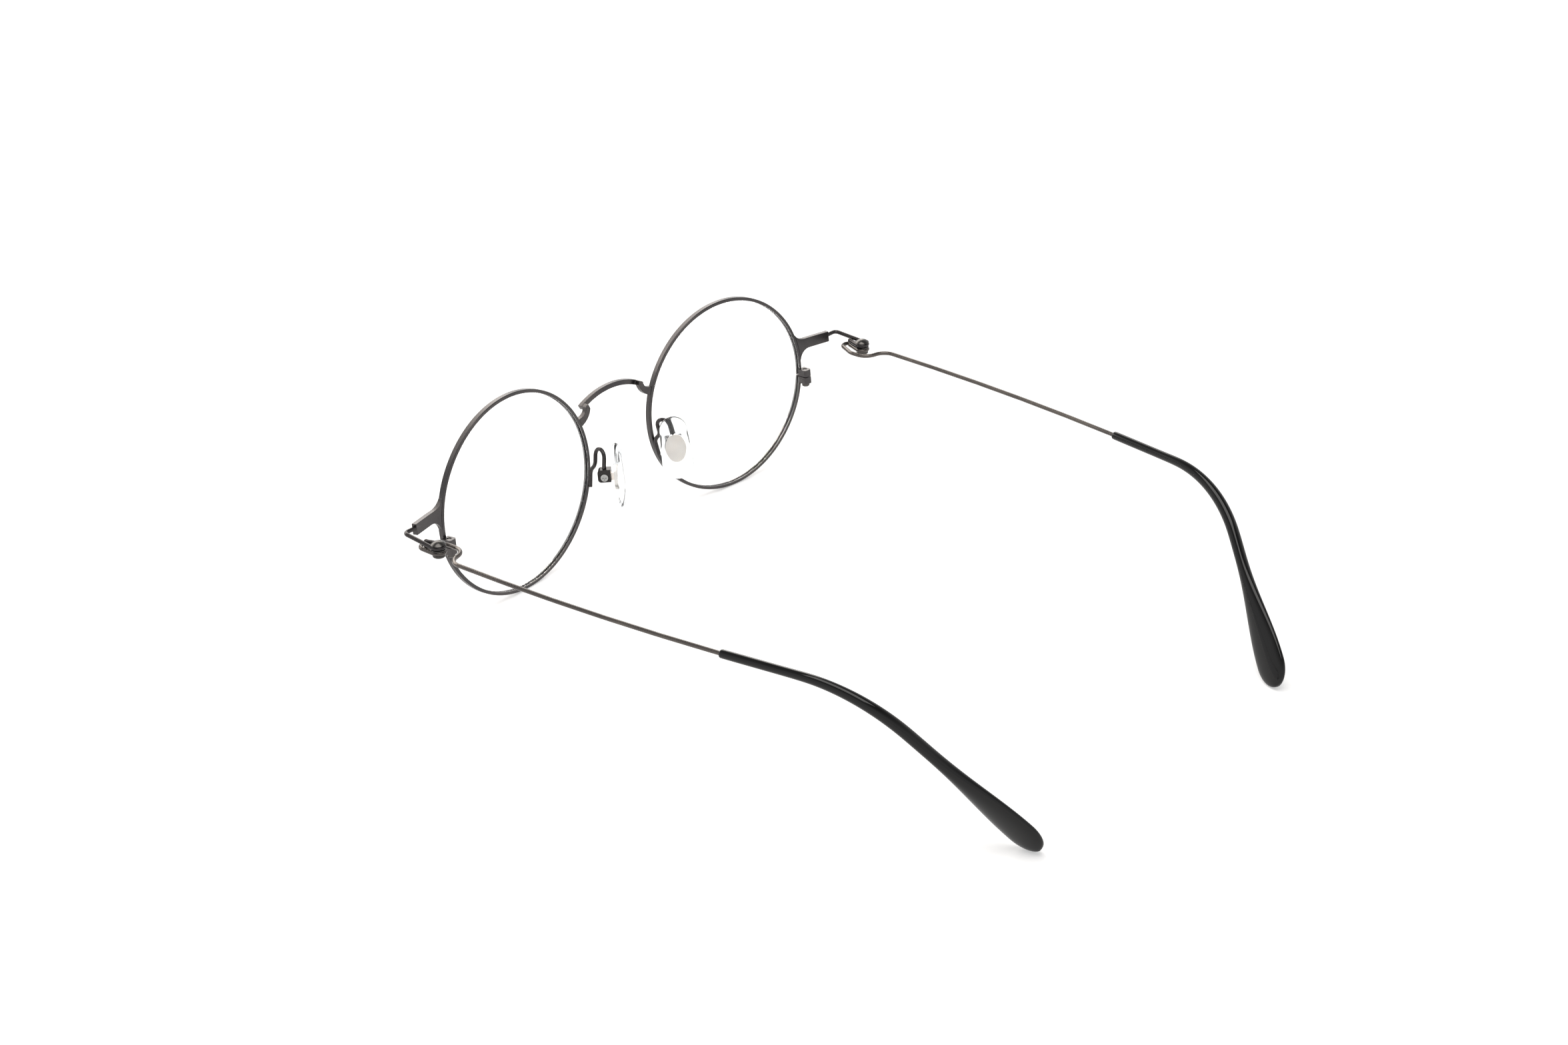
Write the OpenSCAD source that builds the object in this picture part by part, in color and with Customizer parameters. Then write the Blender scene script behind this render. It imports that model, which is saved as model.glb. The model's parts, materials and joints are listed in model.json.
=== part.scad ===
// Round wire eyeglasses, resting open on a flat surface: rims and tip ends at z = 0,
// lenses facing -Y, temples running towards +Y, the wearer's left side at +X.
// Each left piece is drawn once, and its right twin is the mirror image.

/* [Rims and lenses] */
// Boxed width of a lens, over the point of its bevel
lens_w = 45; // [44:0.5:49]
// Boxed height of a lens, less than its width
lens_h = 42.8; // [41.5:0.1:44]
// Roundness of the ends of a lens's longer axis: they are tighter where this is small
lens_oval = 0.88; // [0.6:0.02:1.2]
// Distance between the two lenses
lens_gap = 19; // [18:0.5:21]
// Thickness of a lens
lens_t = 1.2; // [1:0.1:1.3]
// Radius of the front of a lens
lens_curve = 125; // [100:5:200]
// Width of the rim, seen from the front
rim_w = 0.7; // [0.65:0.05:0.9]
// Depth of the rim from front to back
rim_t = 1.25; // [1.2:0.05:1.5]
// Metal between the bottom of the groove and the outside of the rim
rim_wall = 0.3; // [0.25:0.05:0.35]
// Width of the groove at its mouth
groove_w = 0.76; // [0.7:0.02:0.9]
// Width of the bottom of the groove
groove_floor_w = 0.4; // [0.36:0.02:0.5]
// Break on the outer edges of the rim
rim_edge = 0.12; // [0.05:0.01:0.2]
// Turn of each rim that takes its outer side back
wrap = 4.6; // [3:0.1:6]
// Lean of the front that takes its top forward
front_tilt = 6.4; // [5:0.1:8]

/* [Bridge] */
// Height of the top of the arch over the middle of the lenses
arch_top = 12.7; // [12.3:0.1:13.1]
// Radius of the top of the arch
arch_r = 19; // [18:0.1:20]
// Angle from the middle of the arch to its ends
arch_half = 27.4; // [26.4:0.2:28.4]
// Height of the arch's section
arch_h = 1.1; // [0.9:0.05:1.3]
// Depth of the arch's section
arch_d = 1.15; // [0.9:0.05:1.3]
// Distance of the arch's middle in front of the rims' middle plane
arch_out = 3.2; // [3:0.05:3.5]
// Angle that the turned-back tab takes up at the arch's end
tab_angle = 3.2; // [2.8:0.2:4]
// Thickness of the gussets
gusset_t = 1.2; // [1:0.05:1.3]
// Height at which a gusset's lower edge meets the rim
gusset_low = 6.75; // [6.2:0.05:7.2]
// Height at which a gusset's upper edge meets the rim
gusset_up = 8.6; // [8.4:0.05:9]
// Outward reach of the hollow in a gusset's upper edge
gusset_hollow = 0.1; // [0:0.1:0.5]
// Outward shift of the swell in a gusset's lower edge
gusset_swell = 0.5; // [0.2:0.1:1]

/* [Endpieces] */
// Height of the lower edge of the bar over the middle of the lens
bar_low = 3; // [2.4:0.1:3.6]
// Height of the bar
bar_h = 2.4; // [2:0.1:2.8]
// Length of the bar outward of the rim
bar_len = 8.15; // [7:0.05:9.5]
// Thickness of the plate
plate_t = 1.15; // [1:0.05:1.3]
// Radius of the hollow above the bar
fillet_up = 3.6; // [3:0.1:4.2]
// Radius of the hollow below the bar
fillet_low = 2.8; // [2.2:0.1:3.2]
// Sweep of the bar to the back
bar_sweep = 11; // [8:0.5:14]
// Radius of the bend where the sweep begins
sweep_r = 14; // [10:1:18]

/* [Closing blocks] */
// Height of the slit over the middle of the lens
slit_up = -2.7; // [-3.2:0.1:-2.5]
// Width of the slit
slit_w = 0.2; // [0.15:0.05:0.3]
// Height of each half of the block
block_h = 1.55; // [1.3:0.05:1.6]
// Width of the block
block_w = 1.9; // [1.8:0.05:2.1]
// Depth of the block behind the rim
block_d = 2.4; // [2.1:0.05:2.6]
// Rounding of the block's back corners
block_round = 0.5; // [0.3:0.05:0.7]
// Shift of the block outward from the middle of the rim
block_out = 0.25; // [0.1:0.05:0.4]
// Radius of the closing screw's shank
close_screw_r = 0.5; // [0.4:0.05:0.6]
// Radius of the closing screw's head
close_head_r = 0.85; // [0.75:0.05:0.9]
// Height of the closing screw's head
close_head_h = 0.7; // [0.5:0.05:0.8]
// Width of the slot in the closing screw's head
close_slot_w = 0.25; // [0.2:0.05:0.35]

/* [Hinges] */
// Radius of the wire of the hinges and temples
wire_r = 0.45; // [0.42:0.01:0.48]
// Distance of the pin outward of the bar's end
hinge_out = 1.7; // [1.4:0.1:2.2]
// Height of the hinge wire over the middle of the bar's end
hinge_up = 0.25; // [0:0.05:0.35]
// Distance of the pin behind the bar's end
hinge_back = 8.9; // [8.2:0.1:9.8]
// Lean of the hinge pins that takes their tops forward
hinge_tilt = 3; // [2.6:0.1:3.4]
// Depth of the hinge wire in the end of the bar
wire_socket = 1.2; // [0.8:0.1:1.6]
// Radius of the pin's shank
pin_r = 0.7; // [0.6:0.05:0.75]
// Radial clearance between the pin and the eyes
pin_clear = 0.04; // [0.02:0.01:0.08]
// Radius of the pin's head
pin_head_r = 1.6; // [1.5:0.05:1.8]
// Height of the pin's domed head
pin_head_h = 0.65; // [0.5:0.05:0.8]
// Radius of the washer between the eyes
washer_r = 1.5; // [1.4:0.05:1.6]
// Thickness of the washer
washer_t = 0.2; // [0.2:0.05:0.35]
// Gap above and below each eye
eye_gap = 0.05; // [0.03:0.01:0.08]
// Height of the riveted base under the lower eye
base_h = 0.55; // [0.4:0.05:0.8]
// Radius of the base
base_r = 1.35; // [1.2:0.05:1.5]
// Turn of each eye round the pin
eye_wrap = 200; // [190:5:210]
// Length of the tail from the eye to the ball
tail_len = 3.4; // [3:0.1:3.6]
// Radius of the ball at the end of the tail
ball_r = 0.5; // [0.49:0.01:0.52]
// Inward lean of the hinge wire towards the front
front_wire_yaw = 1; // [0.5:0.5:3]
// Upward lean of the hinge wire towards the front
front_wire_pitch = 4; // [3:0.5:5]
// Radius of the hinge wire's square bend
front_bend_r = 1; // [0.8:0.05:1.3]

/* [Temples] */
// Distance of the middle of the loop in front of the pin
loop_front = 3.5; // [3.2:0.1:4]
// Radius of the loop
loop_r = 1.5; // [1.4:0.05:1.8]
// Outward spread of the loop's inner side
loop_spread = 25; // [20:1:30]
// Distance of the crank's inner side from the pin
crank_in = 3.3; // [3.1:0.05:3.5]
// Length of the crank's inner side behind the pin
crank_back = 1.5; // [1.2:0.1:1.8]
// Radius of the two bends of the crank
crank_r = 3.05; // [2.8:0.05:3.3]
// Turn of the crank's first bend
crank_turn = 80; // [74:1:85]
// Inward angle of the side where it leaves the crank
side_yaw = 1.9; // [1.4:0.1:2.4]
// Further inward turn of the side up to the tip
side_bow = 6.9; // [6:0.1:7.8]
// Length of the bowed side
side_len = 65.8; // [62:0.2:69]

/* [Temple tips] */
// Radius of the tip where the wire goes in
tip_r = 0.9; // [0.85:0.05:1.05]
// Straight length of the tip in front of its bend
tip_straight = 17.8; // [17:0.2:20]
// Radius of the bend over the ear
tip_bend_r = 26.9; // [25:0.1:29]
// Turn of the bend over the ear
tip_bend = 48.9; // [48:0.1:50]
// Inward lean of the plane of the bend
tip_lean = 23.2; // [21:0.2:25]
// Length of the tip behind its bend
tip_end_len = 32.8; // [31.6:0.1:34]
// Half of the width of the end paddle
paddle_half_w = 3.6; // [3:0.05:4]
// Half of the thickness of the end paddle
paddle_half_t = 1.25; // [1.05:0.05:1.4]
// Turn of the paddle about its own length
paddle_turn = -6; // [-12:1:0]
// Length of the wire inside the tip
core_len = 15; // [10:0.5:16]

/* [Nose pads] */
// Height of the middle of the arm's foot over the middle of the lens
foot_up = -5.6; // [-6.2:0.1:-5]
// Length of the arm's foot on the rim
foot_len = 2.6; // [2.2:0.1:3]
// Radius of the pad arm's wire
arm_r = 0.44; // [0.4:0.01:0.48]
// Depth of the flat that seats the foot on the rim
foot_flat = 0.1; // [0.06:0.01:0.14]
// Lean of the arm that takes its top towards the nose
arm_lean = 11; // [9.5:0.5:12.5]
// Outward turn of the arm from straight back
arm_turn = 17; // [15:1:20]
// Radius of the two bends over the foot
arm_step_r = 2.2; // [2:0.05:2.4]
// Turn of each bend over the foot
arm_step = 54; // [50:1:58]
// Straight part of the arm in front of its top bend
arm_up = 1.1; // [0.8:0.1:1.5]
// Radius of the arm's top bend
arm_bend_r = 1.75; // [1.6:0.05:2]
// Straight part of the arm from its top bend to the box
arm_down = 2.1; // [1.8:0.1:2.4]
// Splay of the pads from straight sideways
pad_splay = 41; // [38:1:45]
// Forward lean of the pads in their own plane
pad_lean = 2.5; // [1:0.5:5]
// Size of the pad box across the pad
box_d = 2.8; // [2.7:0.1:3]
// Height of the pad box
box_h = 2.8; // [2.7:0.1:3.1]
// Depth of the pad screw below the middle of the pad box
screw_low = 0.35; // [0.3:0.05:0.45]
// Width of the pad box along its screw
box_w = 2.4; // [2.2:0.1:2.6]
// Rounding of the pad box's outer corners
box_round = 0.7; // [0.5:0.1:0.9]
// Radius of the pad screw's shank
pad_screw_r = 0.45; // [0.4:0.05:0.5]
// Radius of the pad screw's head
pad_head_r = 0.8; // [0.7:0.05:0.9]
// Height of the pad screw's head
pad_head_h = 0.35; // [0.25:0.05:0.4]
// Thickness of the insert's lug
lug_t = 1; // [0.8:0.05:1.1]
// Radius of the lug's end round the screw
lug_r = 0.85; // [0.75:0.05:0.95]
// Distance from the screw to the back of the pad
pad_off = 2.25; // [2.1:0.05:2.4]
// Depth of the middle of the pad below the screw
pad_drop = 0.05; // [0:0.05:0.3]
// Length of the pad
pad_len = 14.5; // [13:0.5:15.5]
// Radius of the pad's upper end
pad_top_r = 3; // [2.7:0.1:3.3]
// Radius of the pad's lower end
pad_low_r = 3.45; // [3.3:0.05:3.7]
// Thickness of the pad
pad_t = 2; // [1.7:0.1:2.3]
// Length of the oval insert
insert_len = 6.4; // [6:0.1:6.8]
// Width of the oval insert
insert_w = 4.2; // [4:0.1:4.5]
// Thickness of the oval insert
insert_t = 0.55; // [0.45:0.05:0.7]
// How far the rocking pad turns each way
pad_rock = 8; // [4:1:8]

/* [Hidden] */
$fn = 96;

// Gap at a brazed seat, and radial clearance of what is pushed or screwed in
seat_gap = 0.02;
fit_gap = 0.03;
// Play of the lens bevel at the bottom of the groove, and of the lens in the rim's mouth
bevel_play = 0.05;
// Distance by which a cut passes the surface that it opens
past = 1;
// A wire is drawn a little thinner in its bends, and each straight part laps into them
bend_thin = 0.01;
bend_lap = 0.05;

// Half sizes of the rim's outline, and the place of the rims
rim_half_w = lens_w / 2 + bevel_play + rim_wall;
rim_half_h = lens_h / 2 + bevel_play + rim_wall;
rim_cx = (lens_w + lens_gap) / 2;
rim_cz = rim_half_h * cos(front_tilt) + rim_t / 2 * sin(front_tilt);
// Reach of a tip straight back, and distance of the front ahead of the middle of the glasses' length
tip_reach = tip_straight + tip_bend_r * sin(tip_bend) + tip_end_len * cos(tip_bend);
front_ahead = (hinge_back + crank_in + crank_back + wire_r + side_len + tip_reach) / 2;

// The rim's outline is an oval of four arcs that meet smoothly. Two tight arcs of radius tight_r
// close the ends of its longer axis, and two open arcs of radius open_r join them
oval_more = abs(rim_half_w - rim_half_h);
tight_c = oval_more * (1 + 1 / lens_oval);
tight_r = max(rim_half_w, rim_half_h) - tight_c;
open_c = oval_more * (1 + lens_oval / 2);
open_r = min(rim_half_w, rim_half_h) + open_c;
tight_span = atan2(1 + lens_oval / 2, 1 + 1 / lens_oval);
// The longer axis lies across the face, or stands up where a lens is higher than it is wide
oval_turn = rim_half_h > rim_half_w ? 90 : 0;
side_r = oval_turn == 0 ? tight_r : open_r;
side_c = oval_turn == 0 ? tight_c : -open_c;

// Distance outward from the middle of the lens to the rim's middle line at height v
function rim_mid_x(v) = side_c + sqrt(pow(side_r - rim_w / 2, 2) - v * v);

// The bar of the endpiece: where its sweep begins and ends, and the middle of its end,
// as distances outward and back from the middle of the lens
sweep_lead = 0.6;
sweep_x = rim_half_w + sweep_lead;
sweep_end = [sweep_x + sweep_r * sin(bar_sweep), sweep_r * (1 - cos(bar_sweep))];
bar_end = [
    rim_half_w + bar_len,
    sweep_end[1] + (rim_half_w + bar_len - sweep_end[0]) * tan(bar_sweep)
];
bar_mid = bar_low + bar_h / 2;
// The same point in the front's axes, and then in the world's
bar_front = [
    rim_cx + bar_end[0] * cos(wrap) - bar_end[1] * sin(wrap),
    bar_end[0] * sin(wrap) + bar_end[1] * cos(wrap)
];
bar_world = [
    bar_front[0],
    bar_front[1] * cos(front_tilt) - bar_mid * sin(front_tilt) - front_ahead,
    rim_cz + bar_front[1] * sin(front_tilt) + bar_mid * cos(front_tilt)
];

// Hinge: radius of the eyes' middle line, and heights measured from the upper eye
eye_r = pin_r + pin_clear + wire_r - bend_thin;
head_z = wire_r + eye_gap;
washer_z = -head_z - washer_t;
lower_z = washer_z - head_z;
base_z = lower_z - head_z;

// Hinge wire: from the eye it bends a little upward, runs forward, and turns inward into the bar.
// Its forward reach and outward place before the turn to the yaw, and its rise
pitch_r = 6;
front_x = eye_r - front_bend_r * (1 - sin(front_wire_yaw));
front_reach = (hinge_back - front_x * sin(front_wire_yaw)) / cos(front_wire_yaw);
front_run = (front_reach - pitch_r * sin(front_wire_pitch)) / cos(front_wire_pitch)
    - front_bend_r * cos(front_wire_yaw);
front_rise = pitch_r * (1 - cos(front_wire_pitch))
    + (front_run + front_bend_r * cos(front_wire_yaw)) * sin(front_wire_pitch);
front_end_run = front_x * cos(front_wire_yaw) - front_reach * sin(front_wire_yaw)
    + hinge_out + wire_socket;

// Runs of wire: each step is [straight length, bend radius, bend angle, side of the bend]
hinge_run = [
    [0, pitch_r, front_wire_pitch, -90],
    [front_run, front_bend_r, 90 - front_wire_yaw, 0],
    [front_end_run, 0, 0, 0]
];
spread_run = (eye_r + crank_in - loop_r * (1 + cos(loop_spread)) - crank_r * (1 - cos(loop_spread)))
    / sin(loop_spread);
spread_back = (crank_r - loop_r) * sin(loop_spread) + spread_run * cos(loop_spread) - loop_front;
bow_bends = 5;
bow_turn = side_bow / bow_bends;
bow_r = 80;
bow_run = side_len / bow_bends - bow_r * bow_turn * PI / 180;
temple_run = concat(
    [
        [loop_front, loop_r, 180 - loop_spread, 0],
        [spread_run, crank_r, loop_spread, 0],
        [crank_back - spread_back, crank_r, crank_turn, 0],
        [0, crank_r, crank_turn + side_yaw, 180]
    ],
    [for (k = [1 : bow_bends]) [bow_run, bow_r, bow_turn, 180]]
);
core_run = [[core_len, 0, 0, 0]];
// Room in the tip beyond the end of the core
core_room = 0.3;

// The temple tip's middle line: straight, bent towards tip_to, and straight again
tip_to = [sin(tip_lean), -cos(tip_lean), 0];
tip_side = [cos(tip_lean), sin(tip_lean), 0];
tip_arc_len = tip_bend_r * tip_bend * PI / 180;
tip_len = tip_straight + tip_arc_len + tip_end_len;
function tip_angle(s) = min(max((s - tip_straight) / tip_arc_len, 0), 1) * tip_bend;
function tip_point(s) =
    let (a = tip_angle(s), rest = max(s - tip_straight - tip_arc_len, 0))
    tip_to * (tip_bend_r * (1 - cos(a)) + rest * sin(a))
    + [0, 0, min(s, tip_straight) + tip_bend_r * sin(a) + rest * cos(a)];

// Half width and half thickness of the tip at distance s along it
function ease(t) = let (u = min(max(t, 0), 1)) u * u * (3 - 2 * u);
tip_swell = 0.3;
swell_from = 12;
swell_run = 24;
thin_run = 30;
turn_from = 20;
turn_run = 30;
paddle_from = 46;
paddle_full = 68;
tip_round = 5;
tip_lip = 0.25;
function tip_close(s) = let (u = max(s - (tip_len - tip_round), 0) / tip_round) sqrt(max(1 - u * u, 0));
function tip_open(s) = let (u = max(tip_lip - s, 0) / tip_lip) tip_r - 0.5 * tip_lip * u * u;
function tip_half_w(s) =
    (min(tip_open(s), tip_r) + tip_swell * ease((s - swell_from) / swell_run)
    + (paddle_half_w - tip_r - tip_swell) * ease((s - paddle_from) / (paddle_full - paddle_from)))
    * tip_close(s);
function tip_half_t(s) =
    (min(tip_open(s), tip_r) + (paddle_half_t - tip_r) * ease((s - swell_from) / thin_run))
    * sqrt(tip_close(s));
tip_sides = 24;
tip_rings = concat(
    [0, tip_lip / 2, tip_lip],
    [for (k = [1 : 28]) tip_lip + (tip_len - tip_round - tip_lip) * k / 28],
    [for (k = [1 : 9]) tip_len - tip_round * (1 - sin(10 * k)) - 0.002 * k]
);
function tip_ring(s) =
    let (
        a = tip_angle(s), c = tip_point(s),
        n = tip_to * cos(a) - [0, 0, sin(a)],
        q = paddle_turn * ease((s - turn_from) / turn_run),
        w = n * cos(q) + tip_side * sin(q),
        t = tip_side * cos(q) - n * sin(q)
    )
    [for (k = [0 : tip_sides - 1])
        c + w * (tip_half_w(s) * cos(360 * k / tip_sides)) - t * (tip_half_t(s) * sin(360 * k / tip_sides))];

// Pad arm: reach from the foot to the box, and height of the box's top over the foot's lower end
arm_reach = 2 * arm_step_r * (1 - cos(arm_step)) + 2 * arm_bend_r;
arm_socket = 0.5;
box_rise = foot_len + 2 * arm_step_r * sin(arm_step) + arm_up - arm_down;
arm_run = [
    [foot_len, arm_step_r, arm_step, 0],
    [0, arm_step_r, arm_step, 180],
    [arm_up, arm_bend_r, 180, 0],
    [arm_down + arm_socket, 0, 0, 0]
];
lug_room = 0.2;
lug_play = 0.06;
box_slot = lug_t + lug_room;
slot_back = lug_r + lug_room;
slot_top = lug_r * cos(pad_rock) + box_d / 2 * sin(pad_rock) + lug_play;

// Shape shared by all skins: closed rings of points, joined one to the next
module skin(rings) {
    n = len(rings[0]);
    m = len(rings);
    polyhedron(
        points = [for (r = rings) each r],
        faces = concat(
            [[for (k = [n - 1 : -1 : 0]) k]],
            [for (i = [0 : m - 2], k = [0 : n - 1])
                [i * n + k, i * n + (k + 1) % n, (i + 1) * n + (k + 1) % n]],
            [for (i = [0 : m - 2], k = [0 : n - 1])
                [i * n + k, (i + 1) * n + (k + 1) % n, (i + 1) * n + k]],
            [[for (k = [0 : n - 1]) (m - 1) * n + k]]
        )
    );
}

// Wire along a run, starting at the origin towards +Z, and bending towards -X on side 0
module wire(r, run, i = 0) {
    if (i < len(run)) {
        step = run[i];
        end_lap = step[2] > 0 ? bend_lap : 0;
        translate([0, 0, -bend_lap]) cylinder(h = step[0] + bend_lap + end_lap, r = r);
        translate([0, 0, step[0]]) rotate([0, 0, step[3]]) {
            if (step[2] > 0)
                translate([-step[1], 0, 0]) rotate([90, 0, 0])
                    rotate_extrude(angle = step[2]) translate([step[1], 0]) circle(r - bend_thin);
            wire_turn(step) rotate([0, 0, -step[3]]) wire(r, run, i + 1);
        }
    }
}

// Carries what follows over one bend
module wire_turn(step) {
    translate([step[1] * (cos(step[2]) - 1), 0, step[1] * sin(step[2])])
        rotate([0, -step[2], 0]) children();
}

// Places what follows at the end of a run
module at_run_end(run, i = 0) {
    if (i < len(run)) {
        step = run[i];
        translate([0, 0, step[0]]) rotate([0, 0, step[3]])
            wire_turn(step) rotate([0, 0, -step[3]]) at_run_end(run, i + 1) children();
    } else children();
}

// Axes of the front, of one rim, and of one hinge with its origin in the upper eye
module front_axes() {
    translate([0, -front_ahead, rim_cz]) rotate([front_tilt, 0, 0]) children();
}

module rim_axes() {
    front_axes() translate([rim_cx, 0, 0]) rotate([0, 0, wrap]) children();
}

module hinge_axes() {
    translate(bar_world + [hinge_out, 0, hinge_up])
        rotate([hinge_tilt, 0, 0]) translate([0, hinge_back, -front_rise]) children();
}

// Stands a drawing up in the rim's plane: x outward, y up and z back
module upright() {
    rotate([90, 0, 0]) mirror([0, 0, 1]) children();
}

// Oval of four arcs, drawn inside the rim's outline by an inset
module rim_oval(inset) {
    reach = tight_c + (tight_r - inset) * cos(tight_span);
    rotate([0, 0, oval_turn]) {
        intersection() {
            translate([0, -open_c]) circle(open_r - inset);
            translate([0, open_c]) circle(open_r - inset);
            translate([-reach, -open_r]) square([2 * reach, 2 * open_r]);
        }
        for (s = [-1, 1]) translate([s * tight_c, 0]) circle(tight_r - inset);
    }
}

// Ring that follows the rim's outline, with its section drawn inward from x = 0
module rim_sweep() {
    for (s = [0, 180]) rotate([0, 0, s + oval_turn]) {
        translate([tight_c, 0, 0]) rotate([0, 0, -tight_span])
            rotate_extrude(angle = 2 * tight_span) translate([tight_r, 0]) children();
        translate([0, -open_c, 0]) rotate([0, 0, tight_span])
            rotate_extrude(angle = 180 - 2 * tight_span) translate([open_r, 0]) children();
    }
}

// Rim: a grooved ring with the slit that the closing block spans
module rim() {
    rim_axes() upright() difference() {
        rim_sweep() polygon([
            [-rim_w, -rim_t / 2], [-rim_edge, -rim_t / 2], [0, -rim_t / 2 + rim_edge],
            [0, rim_t / 2 - rim_edge], [-rim_edge, rim_t / 2], [-rim_w, rim_t / 2],
            [-rim_w, groove_w / 2], [-rim_wall, groove_floor_w / 2],
            [-rim_wall, -groove_floor_w / 2], [-rim_w, -groove_w / 2]
        ]);
        translate([0, slit_up - slit_w / 2, -rim_t]) cube([rim_half_w + past, slit_w, 2 * rim_t]);
    }
}

// Lens: a curved shell, with a bevelled ring round its edge that seats in the groove
bevel_tip = 0.1;
bevel_base = 0.28;
bevel_ring = 0.34;
bevel_lap = 0.08;
module lens() {
    mouth = rim_w + bevel_play;
    apex = rim_wall + bevel_play;
    edge_r = rim_half_w - mouth;
    back = sqrt(lens_curve * lens_curve - edge_r * edge_r) - lens_t / 2;
    root = bevel_base + bevel_lap * (bevel_base - bevel_tip) / (mouth - apex);
    rim_axes() upright() {
        rim_sweep() polygon([
            [-mouth - bevel_ring, -root], [-mouth - bevel_lap, -root], [-apex, -bevel_tip],
            [-apex, bevel_tip], [-mouth - bevel_lap, root], [-mouth - bevel_ring, root]
        ]);
        intersection() {
            translate([0, 0, -lens_curve / 10]) linear_extrude(lens_curve / 5) rim_oval(mouth);
            difference() {
                translate([0, 0, back]) rotate([90, 0, 0]) sphere(lens_curve, $fn = 360);
                translate([0, 0, back]) rotate([90, 0, 0]) sphere(lens_curve - lens_t, $fn = 360);
            }
        }
    }
}

// Bridge: an arch, its ends turned back as tabs, and a gusset from each tab to its rim.
// The arch's section is drawn from angle a to angle b and from front to back, less an inset
tab_inset = 0.02;
module arch_part(a, b, front, back, inset) {
    translate([0, back, arch_top - arch_r]) rotate([90, 0, 0]) rotate([0, 0, 90 - b])
        rotate_extrude(angle = b - a) translate([arch_r - arch_h + inset, 0])
            square([arch_h - 2 * inset, back - front]);
}

// Height over its root of the point that a gusset's lower edge and its upper edge bend towards
low_pull = 1;
up_pull = 0.2;
function curve3(a, b, c, t) = a * (1 - t) * (1 - t) + b * (2 * t * (1 - t)) + c * (t * t);

module gusset() {
    // Corners inside the tab, and ends of the root on the rim, in the front's axes
    out_r = arch_r - 3 * tab_inset;
    in_r = arch_r - arch_h + 3 * tab_inset;
    out_a = arch_half - 0.3;
    in_a = arch_half - tab_angle + 0.2;
    c = arch_top - arch_r;
    tab_out = [out_r * sin(out_a), c + out_r * cos(out_a)];
    tab_in = [in_r * sin(in_a), c + in_r * cos(in_a)];
    root_low = [rim_cx - rim_mid_x(gusset_low), gusset_low];
    root_up = [rim_cx - rim_mid_x(gusset_up), gusset_up];
    upper = [for (t = [0 : 0.125 : 1])
        curve3(tab_out, [tab_out[0] + gusset_hollow, gusset_up + up_pull], root_up, t)];
    lower = [for (t = [0 : 0.125 : 1])
        curve3(root_low, [tab_in[0] + gusset_swell, gusset_low + low_pull], tab_in, t)];
    polygon(concat(upper, lower));
}

module bridge() {
    color("#4a4848") {
        front_axes() arch_part(-arch_half, arch_half, -arch_out - arch_d / 2, -arch_out + arch_d / 2, 0);
        for (s = [0, 1]) mirror([s, 0, 0]) {
            front_axes() arch_part(arch_half - tab_angle, arch_half - 0.1,
                -arch_out, -gusset_back() - 0.15, tab_inset);
            difference() {
                front_axes() translate([0, -gusset_back(), 0]) rotate([90, 0, 0])
                    linear_extrude(gusset_t) gusset();
                rim_axes() upright() translate([0, 0, -3 * rim_t]) linear_extrude(6 * rim_t)
                    rim_oval(-seat_gap);
            }
        }
    }
}

// Distance of the gussets' back face in front of the front's middle plane
function gusset_back() = (rim_cx - lens_gap / 2) * sin(wrap) - gusset_t / 2;

// Endpiece: the plate seen from the front, cut to the swept strip seen from above
flare_cut = 0.6;
flare_step = 0.01;
module endpiece_outline() {
    up_c = [side_c + sqrt(pow(side_r + fillet_up, 2) - pow(bar_low + bar_h + fillet_up, 2)),
        bar_low + bar_h + fillet_up];
    low_c = [side_c + sqrt(pow(side_r + fillet_low, 2) - pow(bar_low - fillet_low, 2)),
        bar_low - fillet_low];
    // Heights of the two ends of the flare on the rim, and the reach of the outline
    up_v = up_c[1] * side_r / (side_r + fillet_up) - flare_cut;
    low_v = low_c[1] * side_r / (side_r + fillet_low) + flare_cut;
    inside = side_c + side_r / 2;
    beyond = rim_half_w + 2 * bar_len;
    difference() {
        polygon([
            [inside, low_v], [low_c[0], low_v], [low_c[0], bar_low], [beyond, bar_low],
            [beyond, bar_low + bar_h], [up_c[0], bar_low + bar_h], [up_c[0], up_v], [inside, up_v]
        ]);
        translate(up_c) circle(fillet_up - flare_step);
        translate(low_c) circle(fillet_low - flare_step);
        rim_oval(-seat_gap);
    }
}

// One edge of the strip, on the side s of its middle line
sweep_parts = 6;
function strip_edge(s) = concat(
    [[side_c, s * plate_t / 2]],
    [for (k = [0 : sweep_parts])
        let (a = bar_sweep * k / sweep_parts, r = sweep_r - s * plate_t / 2)
        [sweep_x + r * sin(a), sweep_r - r * cos(a)]],
    [bar_end + s * plate_t / 2 * [-sin(bar_sweep), cos(bar_sweep)]]
);
module endpiece_strip() {
    out = strip_edge(1);
    polygon(concat(strip_edge(-1), [for (k = [len(out) - 1 : -1 : 0]) out[k]]));
}

module endpiece() {
    difference() {
        rim_axes() intersection() {
            upright() translate([0, 0, -past]) linear_extrude(past + 2 * bar_end[1] + plate_t)
                endpiece_outline();
            linear_extrude(2 * rim_half_h) endpiece_strip();
        }
        translate(bar_world + [0, 0, hinge_up]) rotate([0, -90, 0]) translate([0, 0, -past])
            cylinder(h = wire_socket + past + fit_gap, r = wire_r + fit_gap);
    }
}

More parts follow.
